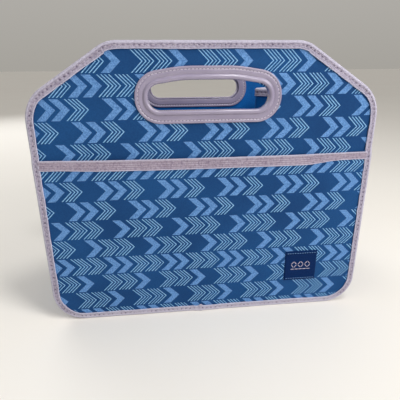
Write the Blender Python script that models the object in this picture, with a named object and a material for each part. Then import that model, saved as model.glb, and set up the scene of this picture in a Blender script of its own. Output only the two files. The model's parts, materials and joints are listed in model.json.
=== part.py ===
"""A collapsible fabric shoe organizer, standing part-way open.

Two stiff walls with moulded hand holes stand face to face. A gusset at each side folds inward
along its middle, and the base folds upward along its middle, so the walls move together.
World frame: +X to the right, the front wall faces -Y, +Z up, origin under the middle.
"""

import math

import bpy
from mathutils import Matrix, Vector

# ---- Walls (metres): the outline is measured to the outer edge of the binding ----
WALL_WIDTH = 0.366
WALL_HEIGHT = 0.308
TOP_WIDTH = 0.198
SHOULDER_HEIGHT = 0.2535
FOOT_RADIUS = 0.035
SHOULDER_RADIUS = 0.040
TOP_RADIUS = 0.034

# ---- Hand hole and its moulded rings ----
HOLE_HALF_WIDTH = 0.0618
HOLE_BOTTOM = 0.2421
HOLE_SHOULDER = 0.2662
HOLE_TOP = 0.2716
HOLE_CROWN_HALF = 0.027
HOLE_CORNER_RADIUS = 0.0122
HOLE_CROWN_RADIUS = 0.120
RING_WIDTH = 0.0133
RING_PROUD = 0.0020
LIP_PROUD = 0.0037
LIP_WIDTH = 0.0047
SLEEVE_THICKNESS = 0.0018
INNER_RING_PROUD = 0.0022

# ---- Layers ----
GAP = 0.0003
CLOTH = 0.0009
WALL_BOARD = 0.0024
THIN_CLOTH = 0.0006
GUSSET_BOARD = 0.0010
BASE_BOARD = 0.0018
TAPE = 0.0008
TAPE_WIDTH = 0.0077

# ---- Slip pocket and label on the front wall ----
POCKET_TOP = 0.1927
POCKET_TAPE_WIDTH = 0.0112
POCKET_BACK_LEG = 0.0005
LABEL_SIZE = 0.039
LABEL_X = 0.112
LABEL_Z = 0.0552
LABEL_THICKNESS = 0.0010

# ---- Folding: every half panel has the same length between its two hinge lines ----
HALF_PANEL = 0.127
REST_FOLD = math.radians(52.5)
GUSSET_HINGE_X = 0.174
BASE_HINGE_Z = 0.0045
HINGE_CLEARANCE = 0.0028
GUSSET_TOP = 0.2585
GUSSET_TAPE_WIDTH = 0.0103
PANEL_END_GAP = 0.0030
MITRE_GAP = 0.0050

ARC_STEP = math.radians(10.0)

# ---- Values worked out from the ones above ----
WALL_THICKNESS = 2 * CLOTH + WALL_BOARD + 2 * GAP
HINGE_Y = HALF_PANEL * math.cos(REST_FOLD)
LINING_Y = HINGE_Y + HINGE_CLEARANCE
POCKET_STANDOFF = POCKET_BACK_LEG + 2 * GAP
LAYER_INSET = TAPE + GAP

COLORS = {
    "print": (0.030, 0.105, 0.290),
    "lining": (0.010, 0.055, 0.150),
    "board": (0.55, 0.50, 0.42),
    "tape": (0.50, 0.44, 0.50),
    "plastic": (0.48, 0.43, 0.53),
    "label": (0.008, 0.022, 0.110),
}
ROUGHNESS = {"plastic": 0.35, "label": 0.6}


# ---- Scene helpers ----

def clear_scene():
    for obj in list(bpy.data.objects):
        bpy.data.objects.remove(obj)


def new_collection(name):
    collection = bpy.data.collections.new(name)
    bpy.context.scene.collection.children.link(collection)
    return collection


def make_material(name):
    material = bpy.data.materials.new(name)
    material.use_nodes = True
    shader = material.node_tree.nodes["Principled BSDF"]
    shader.inputs["Base Color"].default_value = (*COLORS[name], 1.0)
    shader.inputs["Roughness"].default_value = ROUGHNESS.get(name, 0.85)
    shader.inputs["Metallic"].default_value = 0.0
    return material


def frame_at(origin, along, up):
    """A placing matrix: local X runs along, local Y runs up, local Z is their normal."""
    x_axis = Vector(along).normalized()
    y_axis = Vector(up).normalized()
    z_axis = x_axis.cross(y_axis)
    matrix = Matrix((x_axis, y_axis, z_axis)).transposed().to_4x4()
    matrix.translation = Vector(origin)
    return matrix


# ---- Outlines: lists of (x, y) points, anticlockwise ----

def inset_polygon(corners, inset):
    """Moves every side of a convex polygon inward by inset; a negative inset moves it outward."""
    moved = []
    count = len(corners)
    for index in range(count):
        here = Vector(corners[index])
        before = (here - Vector(corners[index - 1])).normalized()
        after = (Vector(corners[(index + 1) % count]) - here).normalized()
        half_turn = math.acos(max(-1.0, min(1.0, before.dot(after)))) / 2
        direction = (after - before).normalized()
        moved.append(here + direction * (inset / math.cos(half_turn)))
    return moved


def round_corner(before, corner, after, radius):
    """The arc that rounds one corner of a polygon."""
    incoming = (corner - before).normalized()
    outgoing = (after - corner).normalized()
    turn = math.acos(max(-1.0, min(1.0, incoming.dot(outgoing))))
    reach = radius * math.tan(turn / 2)
    centre = corner - incoming * reach + Vector((-incoming.y, incoming.x)) * radius
    steps = max(2, math.ceil(turn / ARC_STEP))
    spoke = Vector((incoming.y, -incoming.x)) * radius
    arc = []
    for step in range(steps + 1):
        angle = turn * step / steps
        arc.append((centre.x + spoke.x * math.cos(angle) - spoke.y * math.sin(angle),
                    centre.y + spoke.x * math.sin(angle) + spoke.y * math.cos(angle)))
    return arc


def rounded_outline(corners, radii, inset):
    """An inset polygon whose corner radii shrink with the inset, as an offset outline does."""
    moved = inset_polygon(corners, inset)
    count = len(moved)
    points = []
    for index in range(count):
        radius = radii[index] - inset
        points += round_corner(moved[index - 1], moved[index], moved[(index + 1) % count], radius)
    return points


def mirrored(right_half):
    """Completes an anticlockwise outline from its right half, listed from bottom to top."""
    return right_half + [(-x, y) for x, y in reversed(right_half)]


def wall_outline(inset):
    half = WALL_WIDTH / 2
    corners = mirrored([(half, 0.0), (half, SHOULDER_HEIGHT), (TOP_WIDTH / 2, WALL_HEIGHT)])
    radii = [FOOT_RADIUS, SHOULDER_RADIUS, TOP_RADIUS]
    return rounded_outline(corners, radii + radii[::-1], inset)


def hole_outline(outset):
    corners = mirrored([(HOLE_HALF_WIDTH, HOLE_BOTTOM), (HOLE_HALF_WIDTH, HOLE_SHOULDER),
                        (HOLE_CROWN_HALF, HOLE_TOP)])
    radii = [HOLE_CORNER_RADIUS, HOLE_CORNER_RADIUS, HOLE_CROWN_RADIUS]
    return rounded_outline(corners, radii + radii[::-1], -outset)


def pocket_outline():
    """The wall's outline below the pocket's open edge."""
    lower = [point for point in wall_outline(LAYER_INSET) if point[1] < POCKET_TOP - TAPE - GAP]
    side = WALL_WIDTH / 2 - LAYER_INSET
    top = POCKET_TOP - TAPE - GAP
    right = [point for point in lower if point[0] > 0]
    left = [point for point in lower if point[0] < 0]
    return right + [(side, top), (-side, top)] + left


def channel_outline(inner_width, depth, front_leg, back_leg):
    """A U open at the bottom: inner_width between its legs, depth from the closed top to the ends."""
    half = inner_width / 2
    return [(-half - front_leg, -depth), (-half, -depth), (-half, -TAPE), (half, -TAPE),
            (half, -depth), (half + back_leg, -depth), (half + back_leg, 0.0), (-half - front_leg, 0.0)]


def rectangle(left, bottom, right, top):
    return [(left, bottom), (right, bottom), (right, top), (left, top)]


# ---- Making objects ----

class Body:
    """A group of pieces that move together, parented to an empty on the joint's axis."""

    def __init__(self, name, pivot):
        self.empty = bpy.data.objects.new(name + "_axis", None)
        self.empty.empty_display_size = 0.02
        self.empty.location = pivot
        guides.objects.link(self.empty)
        bpy.context.view_layer.update()

    def adopt(self, obj, matrix):
        obj.parent = self.empty
        obj.matrix_parent_inverse = self.empty.matrix_world.inverted()
        obj.matrix_world = matrix


def curve_from_loops(name, loops):
    """A flat 2D curve, one cyclic spline for each loop."""
    curve = bpy.data.curves.new(name, "CURVE")
    curve.dimensions = "2D"
    for loop in loops:
        spline = curve.splines.new("POLY")
        spline.points.add(len(loop) - 1)
        for point, (x, y) in zip(spline.points, loop):
            point.co = (x, y, 0.0, 1.0)
        spline.use_cyclic_u = True
    return curve


def plate(name, loops, low, high, place, body, color):
    """A flat piece cut to its outline (later loops are holes), from low to high along local Z."""
    curve = curve_from_loops(name, loops)
    curve.fill_mode = "BOTH"
    curve.extrude = (high - low) / 2
    obj = bpy.data.objects.new(name, curve)
    parts.objects.link(obj)
    curve.materials.append(materials[color])
    body.adopt(obj, place @ Matrix.Translation((0.0, 0.0, (low + high) / 2)))
    return obj


def swept_ring(name, path, section, place, body, color):
    """A ring with a constant section: section X points into the path's loop, section Y along its normal."""
    guide = bpy.data.objects.new(name + "_section", curve_from_loops(name + "_section", [section]))
    guide.hide_render = True
    guide.display_type = "WIRE"
    guides.objects.link(guide)
    curve = curve_from_loops(name, [path])
    curve.fill_mode = "NONE"
    curve.bevel_mode = "OBJECT"
    curve.bevel_object = guide
    obj = bpy.data.objects.new(name, curve)
    parts.objects.link(obj)
    curve.materials.append(materials[color])
    body.adopt(obj, place)
    return obj


# ---- Walls ----

def binding_section(low, high):
    """The edge tape's U section, folded round everything between low and high."""
    inner_low = low - GAP
    inner_high = high + GAP
    return [(0.0, inner_low - TAPE), (0.0, inner_high + TAPE), (TAPE_WIDTH, inner_high + TAPE),
            (TAPE_WIDTH, inner_high), (TAPE, inner_high), (TAPE, inner_low),
            (TAPE_WIDTH, inner_low), (TAPE_WIDTH, inner_low - TAPE)]


def outer_ring_section():
    """The outer moulding: a flat flange, a rolled lip, and a sleeve that lines the hole."""
    base = WALL_THICKNESS + GAP
    top = base + RING_PROUD
    lip_centre = LIP_WIDTH / 2
    lip = []
    for step in range(6):
        angle = math.pi * step / 5
        lip.append((-lip_centre + lip_centre * math.cos(angle),
                    base + LIP_PROUD - lip_centre + lip_centre * math.sin(angle)))
    flange = [(-LIP_WIDTH, top), (-RING_WIDTH + 0.0010, top), (-RING_WIDTH, top - 0.0010),
              (-RING_WIDTH, base), (-SLEEVE_THICKNESS, base)]
    sleeve = [(-SLEEVE_THICKNESS, -GAP), (0.0, -GAP)]
    return (lip + flange + sleeve)[::-1]


def inner_ring_section():
    """The inner moulding: a flat ring on the lining, just outside the sleeve's end."""
    inside = -SLEEVE_THICKNESS - GAP
    back = -GAP
    front = back - INNER_RING_PROUD
    return [(-RING_WIDTH + 0.0008, front), (-RING_WIDTH, front + 0.0008), (-RING_WIDTH, back),
            (inside, back), (inside, front)]


def make_wall(prefix, place, body, outermost):
    """One wall; local Z runs from the lining's inner face (0) to the outer fabric's face."""
    hole = hole_outline(SLEEVE_THICKNESS + GAP)
    outline = wall_outline(LAYER_INSET)
    layers = (("lining", "lining", CLOTH), ("board", "board", WALL_BOARD), ("outer_fabric", "print", CLOTH))
    low = 0.0
    for layer, color, thickness in layers:
        plate(f"{prefix}_{layer}", [outline, hole], low, low + thickness, place, body, color)
        low += thickness + GAP
    swept_ring(f"{prefix}_edge_binding", wall_outline(0.0), binding_section(0.0, outermost),
               place, body, "tape")
    swept_ring(f"{prefix}_handle_outer", hole_outline(0.0), outer_ring_section(), place, body, "plastic")
    swept_ring(f"{prefix}_handle_inner", hole_outline(0.0), inner_ring_section(), place, body, "plastic")


def make_pocket(place, body):
    """The slip pocket, its tape and the sewn label."""
    back = WALL_THICKNESS + POCKET_STANDOFF
    face = back + CLOTH
    plate("front_pocket_panel", [pocket_outline()], back, face, place, body, "print")
    channel = channel_outline(CLOTH + 2 * GAP, POCKET_TAPE_WIDTH, POCKET_BACK_LEG, TAPE)
    half_length = WALL_WIDTH / 2 - TAPE_WIDTH - GAP
    middle = place @ Vector((0.0, POCKET_TOP, (back + face) / 2))
    outward = place.to_3x3() @ Vector((0.0, 0.0, 1.0))
    section_place = frame_at(middle, outward, (0.0, 0.0, 1.0))
    plate("front_pocket_tape", [channel], -half_length, half_length, section_place, body, "tape")
    half = LABEL_SIZE / 2
    label = rectangle(LABEL_X - half, LABEL_Z - half, LABEL_X + half, LABEL_Z + half)
    plate("front_label", [label], face + GAP, face + GAP + LABEL_THICKNESS, place, body, "label")


# ---- Folding half panels ----

class HalfPanel:
    """A stiffened panel between a hinge line on a wall and the middle crease.

    The wall hinge lies on the panel's inner face and the crease on its outermost face, so that
    the panel can fold flat against the wall and flat against its other half.
    """

    def __init__(self, wall_hinge, crease, up, inward, thickness, margin):
        run = (crease - wall_hinge).normalized()
        tilt = math.asin((thickness + margin) / HALF_PANEL)
        axis = run.cross(inward).normalized()
        self.along = Matrix.Rotation(tilt, 3, axis) @ run
        self.place = frame_at(wall_hinge, self.along, up)
        normal = self.place.to_3x3() @ Vector((0.0, 0.0, 1.0))
        self.outward = -1.0 if normal.dot(inward) > 0 else 1.0
        self.length = HALF_PANEL * math.cos(tilt)

    def span(self, near, far):
        """Distances near and far from the inner face, as an ordered range along local Z."""
        return sorted((self.outward * near, self.outward * far))


def add_layers(panel, prefix, outline, layers, body):
    depth = 0.0
    for layer, color, thickness in layers:
        low, high = panel.span(depth, depth + thickness)
        plate(f"{prefix}_{layer}", [outline], low, high, panel.place, body, color)
        depth += thickness + GAP


def gusset_thickness():
    return 2 * THIN_CLOTH + GUSSET_BOARD + 2 * GAP


def base_thickness():
    return 2 * THIN_CLOTH + BASE_BOARD + 2 * GAP


def make_gusset_half(prefix, side, end, body):
    """side is +1 at the right, end is +1 at the back."""
    wall_hinge = Vector((side * GUSSET_HINGE_X, end * HINGE_Y, 0.0))
    crease = Vector((side * (GUSSET_HINGE_X - HALF_PANEL * math.sin(REST_FOLD)), 0.0, 0.0))
    inward = Vector((-side, end, 0.0))
    panel = HalfPanel(wall_hinge, crease, (0.0, 0.0, 1.0), inward, gusset_thickness(), GAP + TAPE)
    near = PANEL_END_GAP
    far = panel.length - GAP
    low_near = BASE_HINGE_Z + near + MITRE_GAP
    low_far = BASE_HINGE_Z + far + MITRE_GAP
    layer_top = GUSSET_TOP - TAPE - GAP
    outline = [(near, low_near), (far, low_far), (far, layer_top), (near, layer_top)]
    layers = (("lining", "lining", THIN_CLOTH), ("board", "board", GUSSET_BOARD),
              ("outer_fabric", "print", THIN_CLOTH))
    add_layers(panel, prefix, outline, layers, body)
    channel = channel_outline(gusset_thickness() + 2 * GAP, GUSSET_TAPE_WIDTH, TAPE, TAPE)
    middle = panel.place @ Vector(((near + far) / 2, GUSSET_TOP, panel.outward * gusset_thickness() / 2))
    across = panel.place.to_3x3() @ Vector((0.0, 0.0, 1.0))
    half_length = (far - near) / 2
    section_place = frame_at(middle, across, (0.0, 0.0, 1.0))
    plate(f"{prefix}_top_tape", [channel], -half_length, half_length, section_place, body, "tape")


def make_base_half(prefix, end, body):
    """The upper face leads toward the wall as the half panel swings up."""
    wall_hinge = Vector((0.0, end * HINGE_Y, BASE_HINGE_Z))
    crease = Vector((0.0, 0.0, BASE_HINGE_Z + HALF_PANEL * math.sin(REST_FOLD)))
    inward = Vector((0.0, end, 1.0))
    panel = HalfPanel(wall_hinge, crease, (1.0, 0.0, 0.0), inward, base_thickness(), GAP)
    near = PANEL_END_GAP
    far = panel.length - GAP
    wide = GUSSET_HINGE_X - near - MITRE_GAP
    narrow = GUSSET_HINGE_X - far - MITRE_GAP
    outline = [(near, -wide), (far, -narrow), (far, narrow), (near, wide)]
    layers = (("lining", "lining", THIN_CLOTH), ("board", "board", BASE_BOARD),
              ("under_fabric", "lining", THIN_CLOTH))
    add_layers(panel, prefix, outline, layers, body)


# ---- The object ----

def make_organizer():
    crease_x = GUSSET_HINGE_X - HALF_PANEL * math.sin(REST_FOLD)
    crease_z = BASE_HINGE_Z + HALF_PANEL * math.sin(REST_FOLD)
    back = Body("back_wall", (0.0, LINING_Y, 0.0))
    back_place = frame_at((0.0, LINING_Y, 0.0), (-1.0, 0.0, 0.0), (0.0, 0.0, 1.0))
    make_wall("back", back_place, back, WALL_THICKNESS)
    front = Body("front_wall", (GUSSET_HINGE_X, -HINGE_Y, 0.0))
    front_place = frame_at((0.0, -LINING_Y, 0.0), (1.0, 0.0, 0.0), (0.0, 0.0, 1.0))
    pocket_face = WALL_THICKNESS + POCKET_STANDOFF + CLOTH
    make_wall("front", front_place, front, pocket_face)
    make_pocket(front_place, front)
    for side_name, side in (("right", 1), ("left", -1)):
        back_half = Body(f"{side_name}_gusset_back", (side * GUSSET_HINGE_X, HINGE_Y, 0.0))
        make_gusset_half(f"{side_name}_gusset_back", side, 1, back_half)
        front_half = Body(f"{side_name}_gusset_front", (side * crease_x, 0.0, 0.0))
        make_gusset_half(f"{side_name}_gusset_front", side, -1, front_half)
    base_back = Body("base_back", (0.0, HINGE_Y, BASE_HINGE_Z))
    make_base_half("base_back", 1, base_back)
    base_front = Body("base_front", (0.0, 0.0, crease_z))
    make_base_half("base_front", -1, base_front)


clear_scene()
parts = new_collection("shoe_organizer")
guides = new_collection("guides")
materials = {name: make_material(name) for name in COLORS}
make_organizer()
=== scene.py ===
"""The looks of a collapsible shoe organizer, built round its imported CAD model.

Metres, in the CAD frame: +X to the right, the front wall faces -Y, +Z up. A wall's own frame has
X along the wall, Y up and Z outward from the lining's inner face.
"""

import json
import math

import bmesh
import bpy
import numpy as np
from mathutils import Matrix, Vector, noise


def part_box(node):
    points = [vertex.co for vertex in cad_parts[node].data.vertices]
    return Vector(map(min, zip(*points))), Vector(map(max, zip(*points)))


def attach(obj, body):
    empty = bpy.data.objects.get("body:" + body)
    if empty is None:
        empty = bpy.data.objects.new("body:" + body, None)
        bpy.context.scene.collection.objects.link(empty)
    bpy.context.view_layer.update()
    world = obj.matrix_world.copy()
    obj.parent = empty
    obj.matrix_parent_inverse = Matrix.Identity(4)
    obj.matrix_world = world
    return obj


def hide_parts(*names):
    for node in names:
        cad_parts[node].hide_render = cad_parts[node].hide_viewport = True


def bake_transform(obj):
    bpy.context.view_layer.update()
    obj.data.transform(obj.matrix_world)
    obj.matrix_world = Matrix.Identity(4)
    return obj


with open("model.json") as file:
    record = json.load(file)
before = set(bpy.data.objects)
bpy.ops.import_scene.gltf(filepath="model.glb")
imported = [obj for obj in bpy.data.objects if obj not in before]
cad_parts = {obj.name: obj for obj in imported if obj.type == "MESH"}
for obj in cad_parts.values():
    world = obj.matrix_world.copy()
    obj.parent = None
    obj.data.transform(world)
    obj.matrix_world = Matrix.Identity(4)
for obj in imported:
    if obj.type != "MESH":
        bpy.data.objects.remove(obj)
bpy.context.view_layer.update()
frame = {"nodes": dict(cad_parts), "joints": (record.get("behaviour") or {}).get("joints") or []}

# ---- The wall's outline and hand hole, as the CAD has them ----
TOP_WIDTH = 0.198
SHOULDER_HEIGHT = 0.2535
FOOT_RADIUS = 0.035
SHOULDER_RADIUS = 0.040
TOP_RADIUS = 0.034
HOLE_HALF_WIDTH = 0.0618
HOLE_BOTTOM = 0.2421
HOLE_SHOULDER = 0.2662
HOLE_TOP = 0.2716
HOLE_CROWN_HALF = 0.027
HOLE_CORNER_RADIUS = 0.0122
HOLE_CROWN_RADIUS = 0.120
RING_WIDTH = 0.0133
LIP_WIDTH = 0.0047
LIP_PROUD = 0.0037
SLEEVE_THICKNESS = 0.0018
RING_STITCH_PLACE = 0.0102
RING_STITCH_HEIGHT = 0.00175

# ---- How finely things are drawn ----
ARC_STEP = math.radians(4.0)
TANGENT_REACH = 0.0008
WALL_STATIONS = 480
WALL_STEPS = 44
SHEET_COLUMNS = 90
GUSSET_ROWS = 60
# Rows in the pocket's rounded corners and above them.
POCKET_ROWS = (16, 40)
# Steps outward and round in the fan of a soft corner.
WEB_GRID = (40, 24)
EDGE_TAPE_STEP = 0.0009
GUSSET_TAPE_STEP = 0.0013
RING_STEP = 0.0012

# ---- Cloth and tape ----
OUTWARD = (0.0, 0.0, 1.0)
CLOTH = 0.0009
THIN_CLOTH = 0.0006
WAVE_HEIGHT = 0.00035
HOLE_CLEARANCE = 0.0021
GAP = 0.0003
TAPE = 0.0008
TAPE_WIDTH = 0.0079
TAPE_CORNER = 0.0024
# Where a leg's points are across it, from its outer edge towards the fold.
TAPE_SHARES = (1.0, 0.99, 0.965, 0.93, 0.89, 0.84, 0.77, 0.70, 0.65, 0.61, 0.575, 0.54, 0.505, 0.47, 0.43,
               0.36)
# Where the overlapping end of the edge tape starts and ends along the wall's foot.
TAPE_END = (-0.018, 0.012)
TAPE_END_PEAK = -0.0105
GUSSET_TAPE_WIDTH = 0.0096
GUSSET_HEM_WIDTH = 0.006
EDGE_WRINKLE = 0.42
GUSSET_WRINKLE = 0.2
POCKET_BULGE = 0.0028
POCKET_TAPE_END = 0.0065
STITCH_ROW = 0.54
STITCH_LEVEL = 0.86
POCKET_STITCH_ROW = 0.80
TAPE_LINES = 5
PIT_LENGTH = 0.0010
RIBS_PER_STITCH = 6
STITCH_PITCH = 0.0052
HANDLE_STITCH_PITCH = 0.0037
LABEL_STITCH_PITCH = 0.0030
LABEL_THICKNESS = 0.0008
LABEL_STITCH_HEIGHT = 0.00135
LABEL_SEAM_LENGTH = 0.92
LABEL_SEAM_PLACE = 0.87
EMBLEM_PITCH = 0.0084
EMBLEM_RISE = 0.0016
EMBLEM_RULE_DROP = 0.0046

# Each thread's stitch: the share of the pitch that shows, and its radius.
STITCH_SIZES = {"tape_thread": (0.62, 0.00028), "plastic_thread": (0.70, 0.00036),
                "label_thread": (0.72, 0.00024), "emblem_thread": (1.0, 0.00038)}

# ---- Folding panels ----
SIGNS = {"right": 1.0, "left": -1.0, "back": 1.0, "front": -1.0}
PANEL_THICKNESS = {"gusset": 0.0028, "base": 0.0036}
PANEL_MARGIN = {"gusset": 0.0011, "base": 0.0003}
HINGE_ROLL_RADIUS = 0.0022
ROLL_STEP = 0.003
ROLL_SIDES = 14
# Radii at the crease, of the outer and the inner cloth.
CREASE_RADII = (0.0015, 0.0040)
SKIN_START = 0.0015
BASE_ROLL_HALF = 0.160
BASE_END_CLEARANCE = 0.0030
GUSSET_FOOT = 0.0030
GUSSET_CORNER_GAP = 0.0025
GUSSET_TAPE_START = 0.0020
GUSSET_TAPE_RADIUS = 0.0030
BOARD_END_GAP = 0.005
GUSSET_SLACK = 0.0012

# ---- The base's soft corners: fans of cloth round the wall hinges, with angles counted from the wall ----
# Where the fan starts, at the hinge and far from it.
WEB_START = (math.radians(7.0), math.radians(23.0))
WEB_START_EASE = 0.050
WEB_END = math.radians(36.0)
WEB_INSET = 0.003
WEB_MIDDLE_GAP = 0.002
WEB_LENGTH = 0.163
WEB_BELOW = {"back": 0.0010, "front": 0.0018}

# ---- Pitch of each weave ----
PRINT_WEAVE = 0.0006
LINING_WEAVE = 0.0007
LABEL_WEAVE = 0.0005

# ---- The print: rows of arrows, in units of one row's height ----
ROW_HEIGHT = 0.0225
PRINT_PERIOD = 2.895
# Each row's arrows, S solid and L lined, and how far along it they start.
PRINT_ROWS = (("SSLL", 0.09), ("SSL", 1.51), ("SSL", 0.09), ("SLL", 2.15),
              ("SLL", 0.70), ("SSLL", 1.53), ("LLS", 1.38), ("LLS", 2.85))
SOLID_WIDTH = 0.38
LINE_WIDTH = 0.054
LINE_PITCH = 0.165
LINES_IN_MOTIF = 4
MOTIF_GAP = {"SS": 0.24, "SL": 0.275, "LL": 0.215, "LS": 0.30}
ARM_REACH = 0.47
UPPER_PRINT_TOP = 0.2667
POCKET_PRINT_TOP = 0.1822
POCKET_PRINT_SHIFT = -0.673
ROWS_ABOVE = 16

# ---- The viewing place: a little left of the middle, above the handles, looking down ----
CAMERA_PLACE = (-0.0505, -0.4693, 0.2840)
CAMERA_YAW = math.radians(5.99)
CAMERA_PITCH = math.radians(19.88)
CAMERA_ROLL = math.radians(0.36)
CAMERA_LENS = 33.25
CAMERA_SENSOR = 36.0
FLOOR_HALF = 30.0


# ---- Arrays of points ----

def together(*columns):
    """Points from arrays of their coordinates, stretched to one shape."""
    return np.stack(np.broadcast_arrays(*columns), axis=-1)


def lift(flat, depth=0.0):
    """Plane points or vectors as three coordinates."""
    return together(flat[..., 0], flat[..., 1], depth)


# ---- Outlines: lists of (x, y) points, anticlockwise ----

def inset_polygon(corners, inset):
    """Moves every side of a convex polygon inward by inset; a negative inset moves it outward."""
    moved = []
    count = len(corners)
    for index in range(count):
        here = Vector(corners[index])
        before = (here - Vector(corners[index - 1])).normalized()
        after = (Vector(corners[(index + 1) % count]) - here).normalized()
        half_turn = math.acos(max(-1.0, min(1.0, before.dot(after)))) / 2
        moved.append(here + (after - before).normalized() * (inset / math.cos(half_turn)))
    return moved


def round_corner(before, corner, after, radius):
    """The arc that rounds one corner of a line, on whichever side it turns."""
    incoming = (corner - before).normalized()
    outgoing = (after - corner).normalized()
    turn = math.acos(max(-1.0, min(1.0, incoming.dot(outgoing))))
    side = math.copysign(1.0, incoming.x * outgoing.y - incoming.y * outgoing.x)
    normal = Vector((-incoming.y, incoming.x)) * side
    centre = corner - incoming * (radius * math.tan(turn / 2)) + normal * radius
    steps = max(2, math.ceil(turn / ARC_STEP))
    arc = []
    for step in range(steps + 1):
        angle = turn * step / steps
        arc.append(tuple(centre + (incoming * math.sin(angle) - normal * math.cos(angle)) * radius))
    return arc


def rounded_outline(half, half_radii, inset):
    """A symmetric outline moved inward by inset, with its corner radii shrunk as much.

    half lists the corners of its right half from bottom to top, and half_radii their radii.
    """
    moved = inset_polygon(half + [(-x, y) for x, y in reversed(half)], inset)
    radii = half_radii + half_radii[::-1]
    points = []
    for index, corner in enumerate(moved):
        after = moved[(index + 1) % len(moved)]
        points += round_corner(moved[index - 1], corner, after, radii[index] - inset)
    return points


def wall_outline(inset):
    corners = [(HALF_WALL, 0.0), (HALF_WALL, SHOULDER_HEIGHT), (TOP_WIDTH / 2, WALL_HEIGHT)]
    return rounded_outline(corners, [FOOT_RADIUS, SHOULDER_RADIUS, TOP_RADIUS], inset)


def hole_outline(outset):
    corners = [(HOLE_HALF_WIDTH, HOLE_BOTTOM), (HOLE_HALF_WIDTH, HOLE_SHOULDER), (HOLE_CROWN_HALF, HOLE_TOP)]
    return rounded_outline(corners, [HOLE_CORNER_RADIUS, HOLE_CORNER_RADIUS, HOLE_CROWN_RADIUS], -outset)


def enclosed_area(outline):
    x, y = np.array(outline).T
    return 0.5 * abs(np.dot(x, np.roll(y, 1)) - np.dot(y, np.roll(x, 1)))


class Path:
    """A line through points that can be read at any distance along it."""

    def __init__(self, points, closed):
        self.closed = closed
        self.points = np.array(list(points) + list(points[:1] if closed else []), float)
        steps = np.linalg.norm(np.diff(self.points, axis=0), axis=1)
        self.marks = np.concatenate([[0.0], np.cumsum(steps)])
        self.length = self.marks[-1]

    def at(self, distances):
        places = np.mod(distances, self.length) if self.closed else distances
        return np.stack([np.interp(places, self.marks, column) for column in self.points.T], axis=-1)

    def along(self, distances):
        step = self.at(distances + TANGENT_REACH) - self.at(distances - TANGENT_REACH)
        return step / np.linalg.norm(step, axis=-1, keepdims=True)

    def left(self, distances):
        """The unit normal to the left of the direction of travel, for a path in a plane."""
        tangent = self.along(distances)
        return together(-tangent[..., 1], tangent[..., 0])


# ---- Numbers that vary over a surface ----

def smoothstep(low, high, value):
    share = np.clip((value - low) / (high - low), 0.0, 1.0)
    return share * share * (3.0 - 2.0 * share)


def bell(value, centre, width):
    return np.exp(-((value - centre) / width) ** 2)


def field(points, size, seed=0.0):
    """Smooth noise from -1 to 1 at each point, with features about size wide."""
    flat = np.asarray(points, float).reshape(-1, points.shape[-1])
    if flat.shape[1] == 2:
        flat = np.column_stack([flat, np.zeros(len(flat))])
    values = [noise.noise(Vector(point / size) + Vector((seed, 1.7 * seed, 0.3))) for point in flat]
    return np.array(values).reshape(points.shape[:-1])


# ---- Meshes ----

def mesh_object(name, points, faces, uvs=None, uv_name="print"):
    """A smooth-shaded mesh object whose faces point outward; uvs has one pair per face corner."""
    mesh = bpy.data.meshes.new(name)
    mesh.from_pydata([tuple(point) for point in points], [], faces)
    if uvs is not None:
        layer = mesh.uv_layers.new(name=uv_name)
        layer.data.foreach_set("uv", np.asarray(uvs, np.float32).ravel())
    build = bmesh.new()
    build.from_mesh(mesh)
    bmesh.ops.recalc_face_normals(build, faces=build.faces[:])
    build.to_mesh(mesh)
    build.free()
    mesh.shade_smooth()
    obj = bpy.data.objects.new(name, mesh)
    bpy.context.scene.collection.objects.link(obj)
    return obj


def grid_quads(rows, columns, closed_rows, closed_columns):
    """The quads over a grid of points, each as (its row, its column, its four vertices)."""
    quads = []
    for i in range(rows if closed_rows else rows - 1):
        here, there = i * columns, (i + 1) % rows * columns
        for j in range(columns if closed_columns else columns - 1):
            beside = (j + 1) % columns
            quads.append((i, j, (here + j, here + beside, there + beside, there + j)))
    return quads


def sweep(name, centres, inward, outward, rows, along, across, closed, uv_name="tape"):
    """Carries a section along a path; rows[i, j] is point j of the section at station i.

    inward and outward are the section's two directions, one for all stations or one for each.
    along and across are the UV coordinates, with one more value than there are faces that way.
    """
    inward = np.broadcast_to(inward, centres.shape)[:, None]
    outward = np.broadcast_to(outward, centres.shape)[:, None]
    points = centres[:, None] + rows[..., :1] * inward + rows[..., 1:] * outward
    count, size = rows.shape[:2]
    faces = []
    uvs = []
    for i, j, quad in grid_quads(count, size, closed, True):
        faces.append(quad)
        uvs += [(along[i], across[j]), (along[i], across[j + 1]),
                (along[i + 1], across[j + 1]), (along[i + 1], across[j])]
    if not closed:
        for start in (0, (count - 1) * size):
            faces.append(tuple(range(start, start + size)))
            uvs += [(0.0, 0.0)] * size
    return mesh_object(name, points.reshape(-1, 3), faces, uvs, uv_name)


def slab(name, front, back, uv, closed=False):
    """A closed sheet between two grids of points; closed joins the grid's last row to its first."""
    rows, columns = front.shape[:2]
    size = rows * columns
    points = np.concatenate([front.reshape(-1, 3), back.reshape(-1, 3)])
    flat_uv = uv.reshape(-1, 2)
    faces = []
    for _, _, quad in grid_quads(rows, columns, closed, False):
        faces += [quad, tuple(size + index for index in reversed(quad))]
    rim = [(i * columns + j, (i + 1) % rows * columns + j)
           for i in range(rows if closed else rows - 1) for j in (0, columns - 1)]
    if not closed:
        rim += [(j, j + 1) for start in (0, size - columns) for j in range(start, start + columns - 1)]
    faces += [(here, there, size + there, size + here) for here, there in rim]
    uvs = [flat_uv[index % size] for face in faces for index in face]
    return mesh_object(name, points, faces, uvs)


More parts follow.
